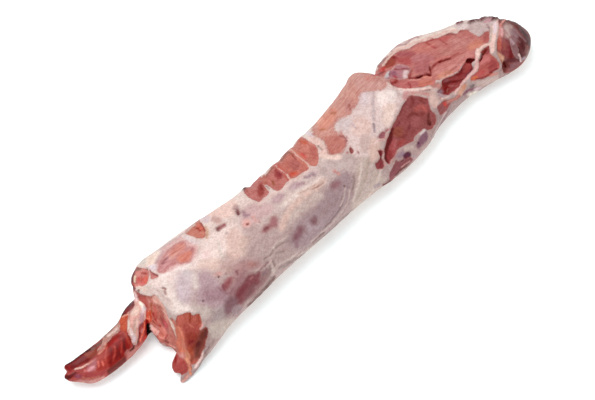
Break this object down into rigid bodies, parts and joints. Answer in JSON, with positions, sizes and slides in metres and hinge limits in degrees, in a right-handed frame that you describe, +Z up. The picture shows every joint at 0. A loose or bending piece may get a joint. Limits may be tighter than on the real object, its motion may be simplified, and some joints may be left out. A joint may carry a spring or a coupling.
{
  "type": "raw pork loin",
  "caption": "Whole boneless raw pork loin lying on its fat side, with silverskin, bare muscle and fat showing, a cut end with a trailing strip and a rounded chump end.",
  "frame": {"origin": "middle of the bounding box in plan, on the surface that the loin rests on", "axes": "+X along the loin from the cut end with its trailing strip to the rounded chump end, +Z up, +Y towards the edge where the ribs were lifted off"},
  "size_m": [0.8314, 0.1608, 0.0829],
  "materials": {
    "raw_pork": "moist raw meat, fat and silverskin, semi-gloss"
  },
  "bodies": {
    "root": {"pork_loin": "raw_pork"}
  },
  "joints": []
}
